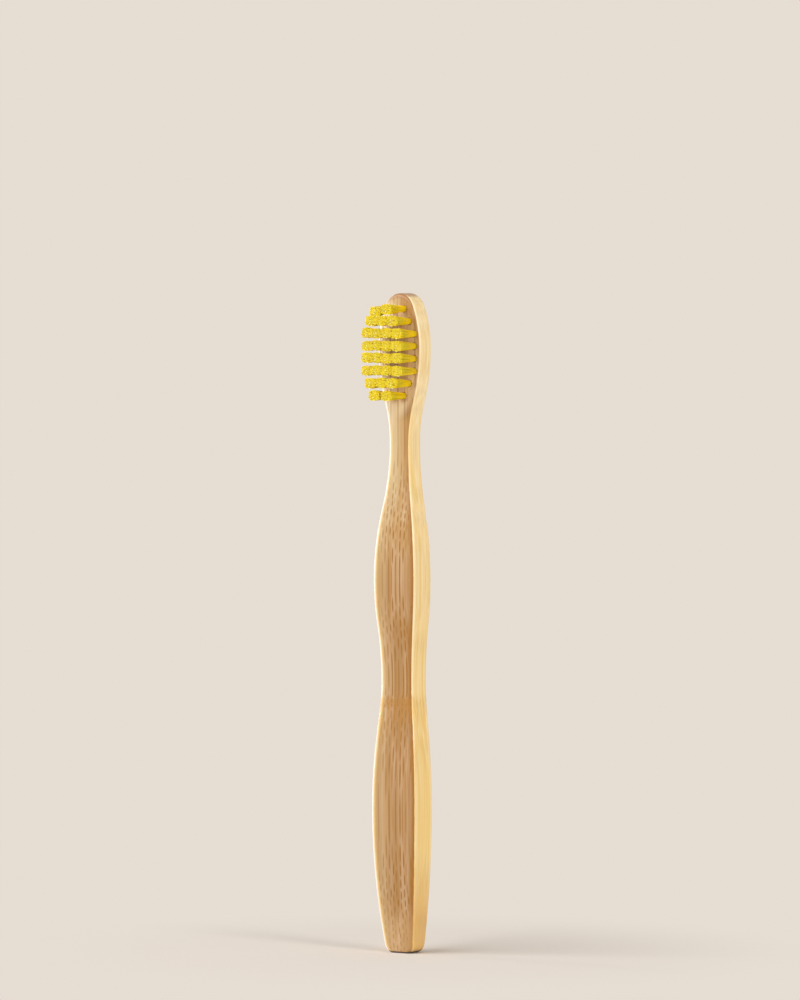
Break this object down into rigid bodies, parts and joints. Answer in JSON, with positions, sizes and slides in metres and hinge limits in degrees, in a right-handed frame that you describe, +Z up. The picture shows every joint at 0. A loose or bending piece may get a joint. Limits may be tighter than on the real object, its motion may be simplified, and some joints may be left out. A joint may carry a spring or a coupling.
{
  "type": "manual toothbrush",
  "caption": "Manual toothbrush with a flat-backed, softly waisted bamboo handle, a small oval head and rows of nylon tufts held by driven metal plates.",
  "frame": {"origin": "centre of the flat butt face that the brush stands on", "axes": "+Z up the handle towards the head, -Y out of the bristle side, +X across the width"},
  "size_m": [0.012, 0.0125, 0.15],
  "materials": {
    "bamboo": "sanded natural bamboo, pale on the sides and toasted brown on the front, with dark grain",
    "bristle_nylon": "yellow nylon filaments, slightly translucent, cut square with rounded ends",
    "anchor_metal": "rolled nickel brass strip, satin"
  },
  "bodies": {
    "root": {"handle": "bamboo", "tuft_row1_1": "bristle_nylon", "tuft_row1_2": "bristle_nylon", "tuft_row2_1": "bristle_nylon", "tuft_row2_2": "bristle_nylon", "tuft_row2_3": "bristle_nylon", "tuft_row3_1": "bristle_nylon", "tuft_row3_2": "bristle_nylon", "tuft_row3_3": "bristle_nylon", "tuft_row3_4": "bristle_nylon", "tuft_row4_1": "bristle_nylon", "tuft_row4_2": "bristle_nylon", "tuft_row4_3": "bristle_nylon", "tuft_row4_4": "bristle_nylon", "tuft_row5_1": "bristle_nylon", "tuft_row5_2": "bristle_nylon", "tuft_row5_3": "bristle_nylon", "tuft_row5_4": "bristle_nylon", "tuft_row6_1": "bristle_nylon", "tuft_row6_2": "bristle_nylon", "tuft_row6_3": "bristle_nylon", "tuft_row6_4": "bristle_nylon", "tuft_row7_1": "bristle_nylon", "tuft_row7_2": "bristle_nylon", "tuft_row7_3": "bristle_nylon", "tuft_row8_1": "bristle_nylon", "tuft_row8_2": "bristle_nylon", "anchor_row1_1": "anchor_metal", "anchor_row1_2": "anchor_metal", "anchor_row2_1": "anchor_metal", "anchor_row2_2": "anchor_metal", "anchor_row2_3": "anchor_metal", "anchor_row3_1": "anchor_metal", "anchor_row3_2": "anchor_metal", "anchor_row3_3": "anchor_metal", "anchor_row3_4": "anchor_metal", "anchor_row4_1": "anchor_metal", "anchor_row4_2": "anchor_metal", "anchor_row4_3": "anchor_metal", "anchor_row4_4": "anchor_metal", "anchor_row5_1": "anchor_metal", "anchor_row5_2": "anchor_metal", "anchor_row5_3": "anchor_metal", "anchor_row5_4": "anchor_metal", "anchor_row6_1": "anchor_metal", "anchor_row6_2": "anchor_metal", "anchor_row6_3": "anchor_metal", "anchor_row6_4": "anchor_metal", "anchor_row7_1": "anchor_metal", "anchor_row7_2": "anchor_metal", "anchor_row7_3": "anchor_metal", "anchor_row8_1": "anchor_metal", "anchor_row8_2": "anchor_metal"}
  },
  "joints": []
}
